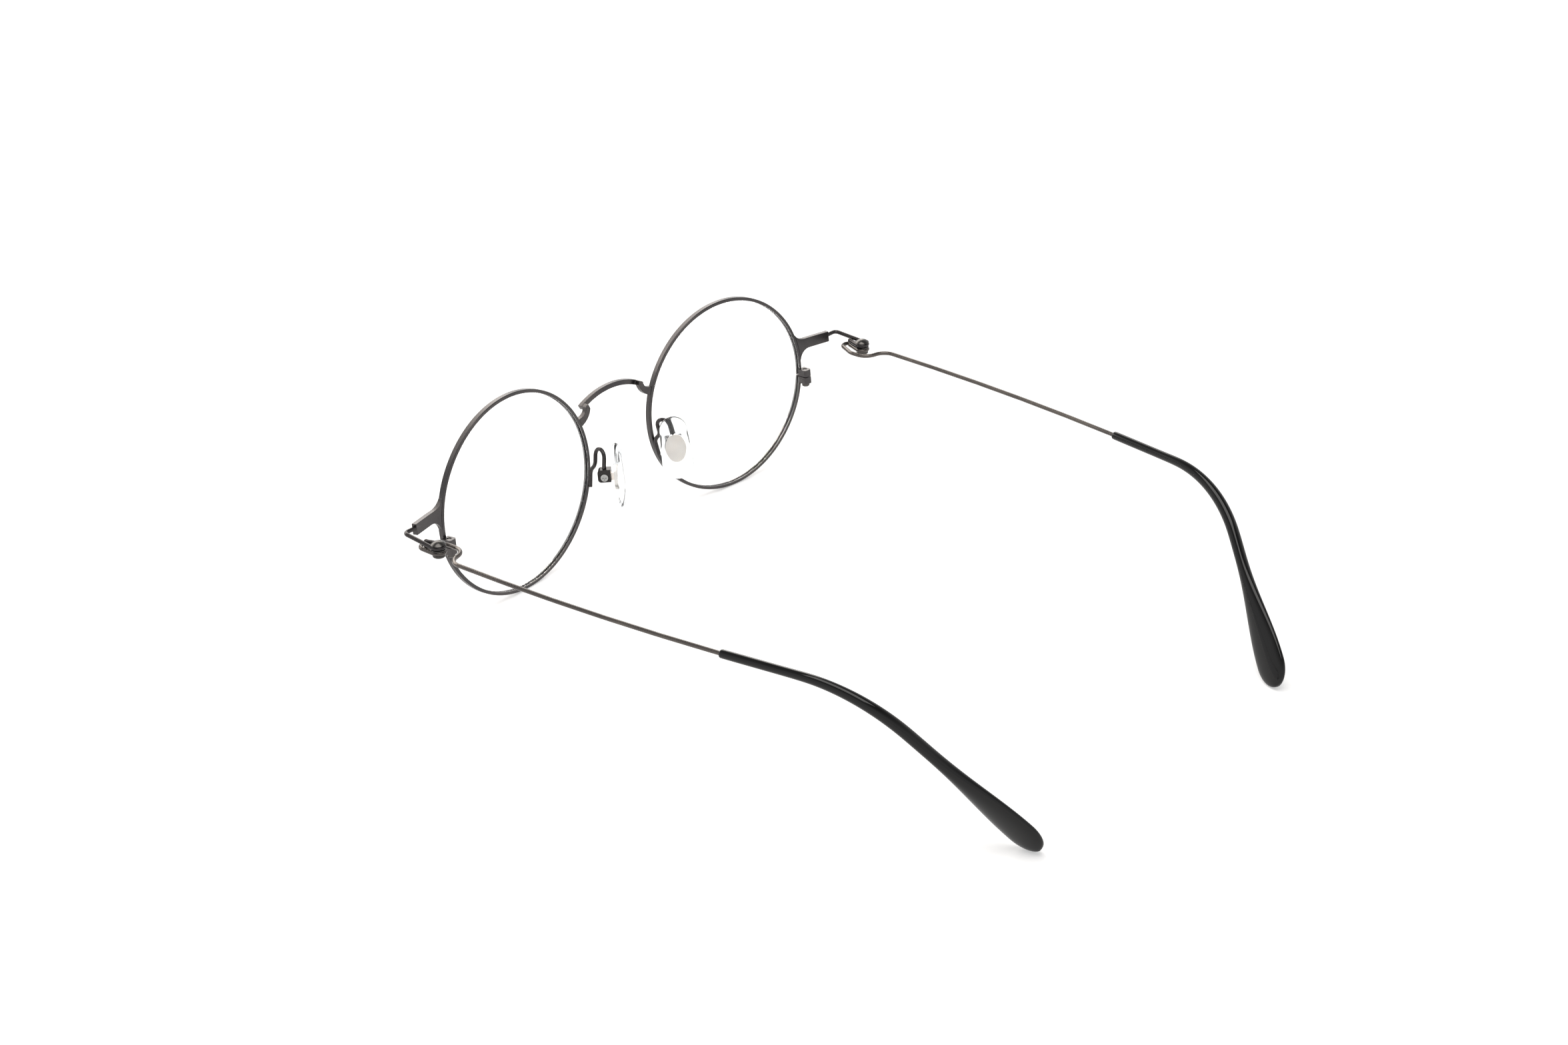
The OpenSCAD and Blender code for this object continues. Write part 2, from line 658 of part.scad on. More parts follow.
// Closing block: two halves behind the rim, one on each side of the slit
block_x = rim_mid_x(slit_up) + block_out;
block_front = rim_t / 2 + seat_gap;
block_y = block_front + block_d / 2;
module closing_half(low) {
    rim_axes() translate([block_x, 0, low]) difference() {
        linear_extrude(block_h) difference() {
            translate([-block_w / 2, block_front]) square([block_w, block_d]);
            for (s = [-1, 1])
                translate([s * (block_w / 2 - block_round), block_front + block_d - block_round])
                    difference() {
                        translate([s > 0 ? 0 : -block_round, 0]) square(block_round);
                        circle(block_round);
                    }
        }
        translate([0, block_y, -past]) cylinder(h = block_h + 2 * past, r = close_screw_r + fit_gap);
    }
}

module closing_block_upper() {
    closing_half(slit_up + slit_w / 2);
}

module closing_block_lower() {
    closing_half(slit_up - slit_w / 2 - block_h);
}

module closing_screw() {
    rim_axes() translate([block_x, block_y, slit_up - slit_w / 2 - block_h]) difference() {
        union() {
            cylinder(h = 2 * block_h + slit_w - 0.15, r = close_screw_r);
            translate([0, 0, -close_head_h - seat_gap]) rotate_extrude() polygon([
                [0, 0], [close_head_r - 0.15, 0], [close_head_r, 0.15],
                [close_head_r, close_head_h], [close_screw_r, close_head_h],
                [close_screw_r, close_head_h + past], [0, close_head_h + past]
            ]);
        }
        translate([-close_head_r - past, -close_slot_w / 2, -close_head_h - past])
            cube([2 * (close_head_r + past), close_slot_w, past + close_head_h / 2 - seat_gap]);
    }
}

// Eye round the pin, with a tail and a ball: the wire comes from the front on the outer side
module eye(yaw) {
    rotate([0, 0, -yaw]) {
        rotate_extrude(angle = eye_wrap) translate([eye_r, 0]) circle(wire_r - bend_thin);
        rotate([0, 0, eye_wrap]) translate([eye_r, 0, 0]) rotate([-90, 0, 0]) {
            translate([0, 0, -bend_lap]) cylinder(h = bend_lap + tail_len, r = wire_r);
            translate([0, 0, tail_len]) sphere(ball_r);
        }
        translate([eye_r, 0, 0]) rotate([90, 0, 0]) children();
    }
}

module hinge_wire() {
    hinge_axes() eye(front_wire_yaw) wire(wire_r, hinge_run);
}

module temple_wire() {
    hinge_axes() translate([0, 0, lower_z]) eye(0) wire(wire_r, concat(temple_run, core_run));
}

// Hinge pin: a domed head and a shank down to the underside of the base
module hinge_pin() {
    dome_r = (pin_head_r * pin_head_r + pin_head_h * pin_head_h) / (2 * pin_head_h);
    hinge_axes() {
        translate([0, 0, base_z - base_h]) cylinder(h = head_z - base_z + base_h, r = pin_r);
        intersection() {
            translate([0, 0, head_z]) cylinder(h = pin_head_h + past, r = pin_head_r - 0.05);
            translate([0, 0, head_z + pin_head_h - dome_r]) sphere(dome_r);
        }
    }
}

module hinge_washer() {
    hinge_axes() translate([0, 0, washer_z]) difference() {
        cylinder(h = washer_t, r = washer_r);
        translate([0, 0, -past]) cylinder(h = washer_t + 2 * past, r = pin_r + fit_gap);
    }
}

module hinge_base() {
    hinge_axes() translate([0, 0, base_z - base_h]) difference() {
        rotate_extrude() polygon([
            [0, 0], [base_r - 0.2, 0], [base_r, 0.2], [base_r, base_h], [0, base_h]
        ]);
        translate([0, 0, -past]) cylinder(h = base_h + 2 * past, r = pin_r + seat_gap);
    }
}

// Temple tip: a sleeve over the wire that bends over the ear and ends in a paddle
module temple_tip() {
    hinge_axes() translate([0, 0, lower_z]) translate([eye_r, 0, 0]) rotate([90, 0, 0])
        at_run_end(temple_run) difference() {
            skin([for (s = tip_rings) tip_ring(s)]);
            translate([0, 0, -past]) cylinder(h = core_len + past + core_room, r = wire_r + fit_gap);
        }
}

// Axes of the arm's foot, and of the pad box with x along its screw and y towards the nose
module foot_axes() {
    foot_low = foot_up - foot_len / 2 * cos(arm_lean);
    rim_axes() translate([
        -rim_mid_x(foot_up) + foot_len / 2 * sin(arm_lean),
        rim_t / 2 + arm_r - foot_flat,
        foot_low
    ]) rotate([0, -arm_lean, 0]) rotate([0, 0, 90 - arm_turn]) children();
}

module box_axes() {
    foot_axes() translate([arm_reach, 0, box_rise]) rotate([0, 0, arm_turn - 90])
        rotate([0, arm_lean, 0]) rotate([0, 0, pad_splay - wrap]) rotate([0, -pad_lean, 0])
        translate([0, 0, -box_h / 2 - screw_low]) children();
}

module pad_arm() {
    difference() {
        foot_axes() rotate([0, 0, 180]) wire(arm_r, arm_run);
        rim_axes() translate([-rim_half_w - past, -past, foot_up - foot_len])
            cube([rim_half_w, past + rim_t / 2 + seat_gap, 2 * foot_len]);
    }
}

module pad_box() {
    difference() {
        box_axes() rotate([90, 0, 90]) translate([0, 0, -box_w / 2]) linear_extrude(box_w)
            difference() {
                translate([-box_d / 2, screw_low - box_h / 2]) square([box_d, box_h]);
                for (s = [-1, 1])
                    translate([box_round - box_d / 2, screw_low + s * (box_h / 2 - box_round)]) difference() {
                        translate([-box_round, s > 0 ? 0 : -box_round]) square(box_round);
                        circle(box_round);
                    }
            }
        box_axes() {
            translate([-box_slot / 2, -slot_back, -box_h / 2 - past])
                cube([box_slot, box_d + past, box_h / 2 + past + slot_top]);
            rotate([0, 90, 0]) translate([0, 0, -box_w]) cylinder(h = 2 * box_w, r = pad_screw_r + fit_gap);
            rotate([0, 90, 0]) translate([0, 0, box_w / 2 - pad_head_h])
                cylinder(h = pad_head_h + past, r = pad_head_r + 0.06);
        }
        foot_axes() translate([arm_reach, 0, box_rise - arm_socket - fit_gap])
            cylinder(h = arm_socket + past, r = arm_r + fit_gap);
    }
}

// Pad screw, with a cross recess in its head
cross_w = 0.22;
cross_len = 1;
cross_deep = 0.18;
module pad_screw() {
    box_axes() rotate([0, 90, 0]) difference() {
        union() {
            translate([0, 0, -box_w / 2]) cylinder(h = box_w - pad_head_h / 2, r = pad_screw_r);
            translate([0, 0, box_w / 2 - pad_head_h]) cylinder(h = pad_head_h, r = pad_head_r);
        }
        for (a = [0, 90]) rotate([0, 0, a])
            translate([-cross_len / 2, -cross_w / 2, box_w / 2 - cross_deep])
                cube([cross_len, cross_w, past]);
    }
}

// Radius of the arcs that touch two end circles of radius r, at c from the middle, and pass at h
function flat_radius(c, h, r) = (c * c + h * h - r * r) / (2 * (h - r));

// Oval for the insert and its pocket, drawn outside by a margin, with x across and y along
module insert_oval(margin) {
    end_r = insert_w * 0.4;
    c = insert_len / 2 - end_r;
    big_r = flat_radius(c, insert_w / 2, end_r);
    off = big_r - insert_w / 2;
    reach = c + (end_r + margin) * cos(atan2(off, c));
    intersection() {
        translate([-off, 0]) circle(big_r + margin);
        translate([off, 0]) circle(big_r + margin);
        translate([-insert_w, -reach]) square([2 * insert_w, 2 * reach]);
    }
    for (s = [-1, 1]) translate([0, s * c]) circle(end_r + margin);
}

// Pad insert: the oval plate and the lug that turns on the screw
module pad_insert() {
    box_axes() difference() {
        union() {
            rotate([90, 0, 90]) translate([0, 0, -lug_t / 2]) linear_extrude(lug_t) {
                circle(lug_r);
                translate([0, -lug_r]) square([pad_off + insert_t / 2, 2 * lug_r]);
            }
            translate([0, pad_off, -pad_drop]) upright() linear_extrude(insert_t) insert_oval(0);
        }
        rotate([0, 90, 0]) translate([0, 0, -box_w]) cylinder(h = 2 * box_w, r = pad_screw_r + pin_clear);
    }
}

// Nose pad: a crowned pad, wider below, with a pocket for the oval plate in its back
pad_sides = 40;
// Insets of the pad's outline at shares of its thickness, from its back to its crown
pad_levels = [
    [0, 0.4], [0.12, 0.12], [0.28, 0], [0.48, 0.14], [0.66, 0.5], [0.82, 1.1], [0.93, 1.8], [1, 2.6]
];
function pad_ring(level) =
    let (
        split = (pad_low_r - pad_top_r) / (pad_len - pad_top_r - pad_low_r),
        low = -pad_len / 2 + pad_low_r,
        top = pad_len / 2 - pad_top_r
    )
    [for (k = [0 : pad_sides - 1])
        let (a = 360 * k / pad_sides, up = sin(a) > split, r = (up ? pad_top_r : pad_low_r) - level[1])
        [r * cos(a), level[0] * pad_t, (up ? top : low) + r * sin(a)]];
module nose_pad() {
    box_axes() difference() {
        translate([0, pad_off, -pad_drop]) skin([for (level = pad_levels) pad_ring(level)]);
        translate([0, pad_off - past, -pad_drop]) upright()
            linear_extrude(past + insert_t + seat_gap) insert_oval(fit_gap);
    }
}

module rim_left() { color("#4a4848") rim(); }
module rim_right() { color("#4a4848") mirror([1, 0, 0]) rim(); }
module lens_left() { color("#e8f0f2", 0.35) lens(); }
module lens_right() { color("#e8f0f2", 0.35) mirror([1, 0, 0]) lens(); }
module endpiece_left() { color("#4a4848") endpiece(); }
module endpiece_right() { color("#4a4848") mirror([1, 0, 0]) endpiece(); }
module closing_block_upper_left() { color("#454444") closing_block_upper(); }
module closing_block_upper_right() { color("#454444") mirror([1, 0, 0]) closing_block_upper(); }
module closing_block_lower_left() { color("#454444") closing_block_lower(); }
module closing_block_lower_right() { color("#454444") mirror([1, 0, 0]) closing_block_lower(); }
module closing_screw_left() { color("#5c5a5a") closing_screw(); }
module closing_screw_right() { color("#5c5a5a") mirror([1, 0, 0]) closing_screw(); }
module hinge_wire_left() { color("#545150") hinge_wire(); }
module hinge_wire_right() { color("#545150") mirror([1, 0, 0]) hinge_wire(); }
module hinge_pin_left() { color("#5a5857") hinge_pin(); }
module hinge_pin_right() { color("#5a5857") mirror([1, 0, 0]) hinge_pin(); }
module hinge_washer_left() { color("#5a5857") hinge_washer(); }
module hinge_washer_right() { color("#5a5857") mirror([1, 0, 0]) hinge_washer(); }
module hinge_base_left() { color("#5a5857") hinge_base(); }
module hinge_base_right() { color("#5a5857") mirror([1, 0, 0]) hinge_base(); }
module temple_wire_left() { color("#545150") temple_wire(); }
module temple_wire_right() { color("#545150") mirror([1, 0, 0]) temple_wire(); }
module temple_tip_left() { color("#1c1c1e") temple_tip(); }
module temple_tip_right() { color("#1c1c1e") mirror([1, 0, 0]) temple_tip(); }
module pad_arm_left() { color("#545150") pad_arm(); }
module pad_arm_right() { color("#545150") mirror([1, 0, 0]) pad_arm(); }
module pad_box_left() { color("#4a4848") pad_box(); }
module pad_box_right() { color("#4a4848") mirror([1, 0, 0]) pad_box(); }
module pad_screw_left() { color("#d8d8d6") pad_screw(); }
module pad_screw_right() { color("#d8d8d6") mirror([1, 0, 0]) pad_screw(); }
module pad_insert_left() { color("#c9c2ba") pad_insert(); }
module pad_insert_right() { color("#c9c2ba") mirror([1, 0, 0]) pad_insert(); }
module nose_pad_left() { color("#eef2f4", 0.5) nose_pad(); }
module nose_pad_right() { color("#eef2f4", 0.5) mirror([1, 0, 0]) nose_pad(); }

rim_left();
rim_right();
lens_left();
lens_right();
bridge();
endpiece_left();
endpiece_right();
closing_block_upper_left();
closing_block_upper_right();
closing_block_lower_left();
closing_block_lower_right();
closing_screw_left();
closing_screw_right();
hinge_wire_left();
hinge_wire_right();
hinge_pin_left();
hinge_pin_right();
hinge_washer_left();
hinge_washer_right();
hinge_base_left();
hinge_base_right();
temple_wire_left();
temple_wire_right();
temple_tip_left();
temple_tip_right();
pad_arm_left();
pad_arm_right();
pad_box_left();
pad_box_right();
pad_screw_left();
pad_screw_right();
pad_insert_left();
pad_insert_right();
nose_pad_left();
nose_pad_right();
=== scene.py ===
import json
import math

import bmesh
import bpy
from mathutils import Matrix, Vector
from mathutils.bvhtree import BVHTree


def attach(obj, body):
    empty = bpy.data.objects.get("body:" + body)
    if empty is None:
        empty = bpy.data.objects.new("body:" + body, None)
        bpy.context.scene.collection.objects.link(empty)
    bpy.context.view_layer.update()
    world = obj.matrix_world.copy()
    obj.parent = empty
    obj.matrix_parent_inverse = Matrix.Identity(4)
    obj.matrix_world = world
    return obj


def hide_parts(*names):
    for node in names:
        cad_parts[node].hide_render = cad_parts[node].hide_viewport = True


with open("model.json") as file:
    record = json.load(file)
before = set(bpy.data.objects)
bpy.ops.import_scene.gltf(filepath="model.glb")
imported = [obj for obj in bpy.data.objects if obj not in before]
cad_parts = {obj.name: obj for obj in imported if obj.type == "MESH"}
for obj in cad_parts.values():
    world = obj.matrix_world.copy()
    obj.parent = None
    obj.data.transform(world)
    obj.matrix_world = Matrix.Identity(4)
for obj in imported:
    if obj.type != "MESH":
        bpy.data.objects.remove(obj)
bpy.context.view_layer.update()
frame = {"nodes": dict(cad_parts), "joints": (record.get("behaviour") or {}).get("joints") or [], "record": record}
nodes = frame["nodes"]
MM = 0.001
UM = 1e-6
SIDES = ("left", "right")


# Node helpers
def new_material(name):
    mat = bpy.data.materials.new(name)
    mat.use_nodes = True
    tree = mat.node_tree
    shader = tree.nodes["Principled BSDF"]
    return mat, tree, shader


def object_coords(tree):
    return tree.nodes.new("ShaderNodeTexCoord").outputs["Object"]


def noise(tree, vector, scale, detail=3, roughness=0.5):
    n = tree.nodes.new("ShaderNodeTexNoise")
    n.inputs["Scale"].default_value = scale
    n.inputs["Detail"].default_value = detail
    n.inputs["Roughness"].default_value = roughness
    tree.links.new(vector, n.inputs["Vector"])
    return n.outputs["Fac"]


def ramp(tree, factor, low, high):
    """A colour between low and high, over the middle of a noise's range."""
    r = tree.nodes.new("ShaderNodeValToRGB")
    for stop, at, colour in zip(r.color_ramp.elements, (0.35, 0.65), (low, high)):
        stop.position = at
        stop.color = (*colour, 1)
    tree.links.new(factor, r.inputs["Fac"])
    return r.outputs["Color"]


def spread(tree, factor, low, high, start=0.3, stop=0.7):
    """A value that goes from low to high while factor goes from start to stop."""
    m = tree.nodes.new("ShaderNodeMapRange")
    m.inputs["From Min"].default_value = start
    m.inputs["From Max"].default_value = stop
    m.inputs["To Min"].default_value = low
    m.inputs["To Max"].default_value = high
    tree.links.new(factor, m.inputs["Value"])
    return m.outputs["Result"]


def bump(tree, height, strength, distance):
    b = tree.nodes.new("ShaderNodeBump")
    b.inputs["Strength"].default_value = strength
    b.inputs["Distance"].default_value = distance
    tree.links.new(height, b.inputs["Height"])
    return b.outputs["Normal"]


def link_look(tree, shader, colour, roughness, normal=None):
    tree.links.new(colour, shader.inputs["Base Color"])
    tree.links.new(roughness, shader.inputs["Roughness"])
    if normal:
        tree.links.new(normal, shader.inputs["Normal"])


# Materials. A noise's scale is in waves per metre, so 5200 gives a grain of about 0.2 mm
METAL_PATCHES = 90
METAL_GRAIN, INSERT_GRAIN = 5200, 2600
METAL_BUMP = 0.14
SMOOTHER, ROUGHER = 0.05, 0.07


def plated_metal(name, dark, light, rough, grain_height, grain=METAL_GRAIN):
    mat, tree, shader = new_material(name)
    where = object_coords(tree)
    patches = noise(tree, where, METAL_PATCHES)
    fine = noise(tree, where, grain, roughness=0.6)
    shader.inputs["Metallic"].default_value = 1.0
    link_look(
        tree,
        shader,
        ramp(tree, patches, dark, light),
        spread(tree, fine, rough - SMOOTHER, rough + ROUGHER),
        bump(tree, fine, METAL_BUMP, grain_height),
    )
    return mat


satin = plated_metal("satin_gunmetal", (0.060, 0.057, 0.059), (0.085, 0.079, 0.078), 0.30, 4 * UM)
dark_wire = plated_metal("dark_wire", (0.042, 0.039, 0.040), (0.062, 0.057, 0.056), 0.26, 3 * UM)
# Painted reflection: the temple wires get a lighter, warmer copy of the gunmetal, which stands in for the sheen of
# the white floor that they reflect
painted_sheen_wire = plated_metal("painted_sheen_wire", (0.085, 0.077, 0.073), (0.125, 0.112, 0.102), 0.26, 3 * UM)
rivet_metal = plated_metal("riveted_metal", (0.060, 0.058, 0.056), (0.10, 0.094, 0.088), 0.24, 3 * UM)
box_metal = plated_metal("box_metal", (0.022, 0.021, 0.021), (0.040, 0.037, 0.036), 0.28, 3 * UM)
screw_metal = plated_metal("bright_screw", (0.27, 0.27, 0.265), (0.40, 0.40, 0.39), 0.26, 2 * UM)
insert_metal = plated_metal(
    "nickel_insert", (0.76, 0.69, 0.63), (0.96, 0.90, 0.84), 0.44, 12 * UM, INSERT_GRAIN
)


def black_tip():
    mat, tree, shader = new_material("black_acetate")
    where = object_coords(tree)
    cloud = noise(tree, where, 140, detail=4)
    fine = noise(tree, where, 3800)
    link_look(
        tree,
        shader,
        ramp(tree, cloud, (0.002, 0.002, 0.0022), (0.0045, 0.0042, 0.0042)),
        spread(tree, cloud, 0.06, 0.12),
        bump(tree, fine, 0.04, 2 * UM),
    )
    shader.inputs["IOR"].default_value = 1.46
    shader.inputs["Specular IOR Level"].default_value = 0.36
    return mat


def clear_lens():
    """Clear, and thinned out by alpha, because the photo shows nothing of the lenses."""
    mat, tree, shader = new_material("clear_lens")
    where = object_coords(tree)
    film = noise(tree, where, 60)
    colour = ramp(tree, film, (0.985, 0.992, 0.992), (1, 1, 1))
    link_look(tree, shader, colour, spread(tree, film, 0.0, 0.012))
    shader.inputs["IOR"].default_value = 1.5
    shader.inputs["Transmission Weight"].default_value = 1.0
    shader.inputs["Alpha"].default_value = 0.12
    return mat


def clear_silicone():
    mat, tree, shader = new_material("clear_silicone")
    where = object_coords(tree)
    cloud = noise(tree, where, 260)
    fine = noise(tree, where, 2400)
    link_look(
        tree,
        shader,
        ramp(tree, cloud, (0.90, 0.93, 0.95), (0.97, 0.98, 0.985)),
        spread(tree, cloud, 0.05, 0.13),
        bump(tree, fine, 0.15, 4 * UM),
    )
    shader.inputs["IOR"].default_value = 1.34
    shader.inputs["Transmission Weight"].default_value = 1.0
    return mat


acetate = black_tip()
lens_glass = clear_lens()
silicone = clear_silicone()

FINISH = {
    "rim": satin,
    "bridge": satin,
    "endpiece": satin,
    "closing_block_upper": satin,
    "closing_block_lower": satin,
    "closing_screw": rivet_metal,
    "hinge_wire": dark_wire,
    "hinge_pin": rivet_metal,
    "hinge_washer": rivet_metal,
    "hinge_base": rivet_metal,
    # the temple wires take the metal with the painted floor reflection
    "temple_wire": painted_sheen_wire,
    "temple_tip": acetate,
    "pad_arm": dark_wire,
    "pad_box": box_metal,
    "pad_screw": screw_metal,
    "pad_insert": insert_metal,
    "nose_pad": silicone,
    "lens": lens_glass,
}
for name, obj in nodes.items():
    base = name.removesuffix("_left").removesuffix("_right")
    obj.data.materials.clear()
    obj.data.materials.append(FINISH[base])


# Mesh helpers
SAME_POINT = 1 * UM
SHARP = math.radians(50)


def cad_copy(node):
    bm = bmesh.new()
    bm.from_mesh(nodes[node].data)
    bmesh.ops.remove_doubles(bm, verts=bm.verts, dist=SAME_POINT)
    for item in bm.faces:
        item.material_index = 0
    return bm


def add_piece(name, mesh, material, body, node):
    piece = bpy.data.objects.new(name, mesh)
    bpy.context.scene.collection.objects.link(piece)
    mesh.materials.append(material)
    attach(piece, body)
    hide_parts(node)
    return piece


def evenly(points, count):
    """count points, evenly spaced along a closed outline from its first point."""
    closed = points + points[:1]
    reach = [0.0]
    for a, b in zip(closed, closed[1:]):
        reach.append(reach[-1] + math.dist(a, b))
    out, k = [], 0
    for i in range(count):
        at = reach[-1] * i / count
        while reach[k + 1] < at:
            k += 1
        t = (at - reach[k]) / (reach[k + 1] - reach[k])
        out.append(tuple(p + (q - p) * t for p, q in zip(closed[k], closed[k + 1])))
    return out


def arc(centre, radius, start, stop, steps=40):
    turns = (math.radians(start + (stop - start) * k / steps) for k in range(steps))
    return [(centre[0] + radius * math.cos(a), centre[1] + radius * math.sin(a)) for a in turns]


# Nose pads: clear, crowned, rounder above and wider below, with the metal oval set in the back
PAD_LEN, PAD_T = 14.5 * MM, 2.0 * MM
PAD_TOP_R, PAD_LOW_R = 3.0 * MM, 3.45 * MM
PAD_BACK_INSET = 0.4 * MM
PAD_EDGE_SHARE = 0.28
PAD_CROWN_W = 3.2 * MM
PAD_CROWN_REACH = 0.9
PAD_CROWN_BUNCHING = 1.7
PAD_EDGE_RINGS, PAD_CROWN_RINGS = 6, 15
OVAL_LEN, OVAL_W, OVAL_T = 6.4 * MM, 4.2 * MM, 0.55 * MM
OVAL_END_SHARE = 0.4
POCKET_GAP = 0.03 * MM
PAD_POINTS = 96
PAD_CREASE = math.radians(40)


def pad_outline(inset):
    top = PAD_LEN / 2 - PAD_TOP_R
    low = -PAD_LEN / 2 + PAD_LOW_R
    tilt = math.degrees(math.asin((PAD_LOW_R - PAD_TOP_R) / (top - low)))
    upper = arc((0, top), PAD_TOP_R - inset, tilt, 180 - tilt)
    lower = arc((0, low), PAD_LOW_R - inset, 180 - tilt, 360 + tilt)
    ends = upper + [(-upper[0][0], upper[0][1])] + lower + [(-lower[0][0], lower[0][1])]
    start = ((ends[-1][0] + ends[0][0]) / 2, (ends[-1][1] + ends[0][1]) / 2)
    return evenly([start] + ends, PAD_POINTS)


def oval_outline(margin):
    end_r = OVAL_W * OVAL_END_SHARE
    half_w = OVAL_W / 2
    c = OVAL_LEN / 2 - end_r
    side_r = (half_w**2 + c**2 - end_r**2) / (2 * (half_w - end_r))
    off = side_r - half_w
    turn = math.degrees(math.atan2(c, off))
    points = arc((-off, 0), side_r + margin, 0, turn)
    points += arc((0, c), end_r + margin, turn, 180 - turn)
    points += arc((off, 0), side_r + margin, 180 - turn, 180 + turn)
    points += arc((0, -c), end_r + margin, 180 + turn, 360 - turn)
    points += arc((-off, 0), side_r + margin, -turn, 0)
    return evenly(points, PAD_POINTS)


def pad_rings():
    """Rings of (across, along) points with their height over the pad's back, from pocket to crown."""
    rings = []
    floor_y = OVAL_T + POCKET_GAP
    wall = oval_outline(POCKET_GAP)
    for share in (0.25, 0.5, 0.75, 1):
        rings.append(([(x * share, z * share) for x, z in wall], floor_y))
    back = pad_outline(PAD_BACK_INSET)
    for share in (0, 0.33, 0.66):
        between = [tuple(a + (b - a) * share for a, b in zip(p, q)) for p, q in zip(wall, back)]
        rings.append((between, 0.0))
    edge_y = PAD_EDGE_SHARE * PAD_T
    for k in range(PAD_EDGE_RINGS):
        a = math.radians(90 * k / (PAD_EDGE_RINGS - 1))
        rings.append((pad_outline(PAD_BACK_INSET * (1 - math.sin(a))), edge_y * (1 - math.cos(a))))
    for k in range(PAD_CROWN_RINGS):
        inset = PAD_CROWN_W * PAD_CROWN_REACH * (k / (PAD_CROWN_RINGS - 1)) ** PAD_CROWN_BUNCHING
        rise = math.sqrt(1 - (1 - inset / PAD_CROWN_W) ** 2)
        rings.append((pad_outline(inset), edge_y + (PAD_T - edge_y) * rise))
    return rings


def nose_pad(side):
    joint = next(j for j in frame["joints"] if j["name"] == f"nose_pad_{side}_rock")
    face = next(m for m in frame["record"]["mounts"] if m["name"] == f"nose_face_{side}")
    out = Vector(face["axis"]).normalized()
    along = Vector(joint["axis"]).cross(out).normalized()
    across = out.cross(along)
    origin = Vector(face["pos_m"]) - out * PAD_T
    bm = bmesh.new()
    rows = [
        [bm.verts.new(origin + across * x + along * z + out * y) for x, z in ring]
        for ring, y in pad_rings()
    ]
    for inner, outer in zip(rows, rows[1:]):
        for k in range(PAD_POINTS):
            after = (k + 1) % PAD_POINTS
            bm.faces.new((inner[k], inner[after], outer[after], outer[k]))
    bm.faces.new(rows[0])
    bm.faces.new(rows[-1])
    bmesh.ops.recalc_face_normals(bm, faces=bm.faces)
    for edge in bm.edges:
        edge.smooth = edge.calc_face_angle(0) < PAD_CREASE
    for item in bm.faces:
        item.smooth = True
    mesh = bpy.data.meshes.new(f"silicone_pad_{side}")
    bm.to_mesh(mesh)
    bm.free()
    piece = add_piece(mesh.name, mesh, silicone, f"nose_pad_{side}", f"nose_pad_{side}")


# Temple tips: the CAD form with its flat facets drawn out smooth
TIP_FLAT = math.radians(12)
TIP_SKEW = math.radians(70)


def smooth_tip(side):
    bm = cad_copy(f"temple_tip_{side}")
    bmesh.ops.join_triangles(
        bm, faces=bm.faces, angle_face_threshold=TIP_FLAT, angle_shape_threshold=TIP_SKEW
    )
    crease = bm.edges.layers.float.new("crease_edge")
    for edge in bm.edges:
        if edge.calc_face_angle(0) > SHARP:
            edge[crease] = 1.0
    for item in bm.faces:
        item.smooth = True
    mesh = bpy.data.meshes.new(f"black_tip_{side}")
    bm.to_mesh(mesh)
    bm.free()
    piece = add_piece(mesh.name, mesh, acetate, f"temple_{side}", f"temple_tip_{side}")
    rounder = piece.modifiers.new("rounder", "SUBSURF")
    rounder.levels = rounder.render_levels = 2


# Edges: the endpieces and the pad boxes get broken edges, except where they meet a rim. The bridge
# is remeshed and relaxed, because its folds are too sharp for a bevel
EDGE_ROUND = 0.11 * MM
MERGE = 0.03 * MM
BY_THE_RIM = 0.08 * MM
FLAT = math.radians(1)
SMOOTH_BELOW = math.radians(30)
GRID = 0.055 * MM
RELAX_STEPS = 14
KEEP_SHARE = 0.35


def to_piece(bm, name, material, body, node):
    for item in bm.faces:
        item.smooth = True
    for edge in bm.edges:
        edge.smooth = edge.calc_face_angle(0) < SMOOTH_BELOW
    mesh = bpy.data.meshes.new(name)
    bm.to_mesh(mesh)
    bm.free()
    return add_piece(name, mesh, material, body, node)


def rim_surface(side):
    mesh = nodes[f"rim_{side}"].data
    points = [v.co for v in mesh.vertices]
    return BVHTree.FromPolygons(points, [list(p.vertices) for p in mesh.polygons])


rims = [rim_surface(side) for side in SIDES]


def by_the_rim(vert):
    return any(rim.find_nearest(vert.co, BY_THE_RIM)[0] is not None for rim in rims)


def soften(bm, name, material, body, node):
    bmesh.ops.remove_doubles(bm, verts=bm.verts, dist=MERGE)
    bmesh.ops.dissolve_limit(bm, angle_limit=FLAT, verts=bm.verts, edges=bm.edges)
    joined = {v for v in bm.verts if by_the_rim(v)}
    weight = bm.edges.layers.float.new("bevel_weight_edge")
    for edge in bm.edges:
        if edge.calc_face_angle(0) > SHARP and not joined.issuperset(edge.verts):
            edge[weight] = 1.0
    piece = to_piece(bm, name, material, body, node)
    bevel = piece.modifiers.new("edges", "BEVEL")
    bevel.width = EDGE_ROUND
    bevel.segments = 2
    bevel.limit_method = "WEIGHT"
    bevel.use_clamp_overlap = False
    bevel.harden_normals = True


def round_over(bm, name, material, body, node):
    piece = to_piece(bm, name, material, body, node)
    grid = piece.modifiers.new("grid", "REMESH")
    grid.mode = "VOXEL"
    grid.voxel_size = GRID
    grid.use_smooth_shade = True
    relax = piece.modifiers.new("relax", "SMOOTH")
    relax.factor = 0.5
    relax.iterations = RELAX_STEPS
    fewer = piece.modifiers.new("fewer", "DECIMATE")
    fewer.ratio = KEEP_SHARE


# Hinge wires: the end in the endpiece stops short of the CAD's, and the bore round it is closed, so
# that the endpiece's back is whole
WIRE_CUT = 0.75 * MM
WIRE_BORE = 0.62 * MM
BORE_FLOOR = 0.1 * MM
AT_THE_END = 0.01 * MM


def middle(values):
    return (min(values) + max(values)) / 2


